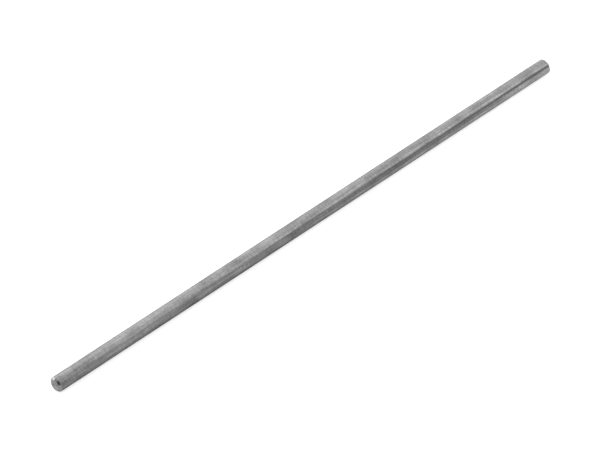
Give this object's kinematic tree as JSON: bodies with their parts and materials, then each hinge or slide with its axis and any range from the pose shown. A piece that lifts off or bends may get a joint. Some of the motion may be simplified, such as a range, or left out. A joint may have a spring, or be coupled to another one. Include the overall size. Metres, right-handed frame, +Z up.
{
  "type": "clutch pushrod",
  "caption": "Straight round steel rod, ground along its length and chamfered at the ends, that carries a clutch lever's push through a hollow mainshaft to the pressure plate.",
  "frame": {"origin": "on the rod's axis at half its length", "axes": "+X along the rod's axis, from the end that the lever pushes to the end at the pressure plate; +Z up as the rod lies"},
  "size_m": [0.2484, 0.006, 0.006],
  "materials": {
    "ground_steel": "centreless-ground satin steel, bare, with turned chamfers and faced ends"
  },
  "bodies": {
    "root": {"pushrod": "ground_steel"}
  },
  "joints": []
}
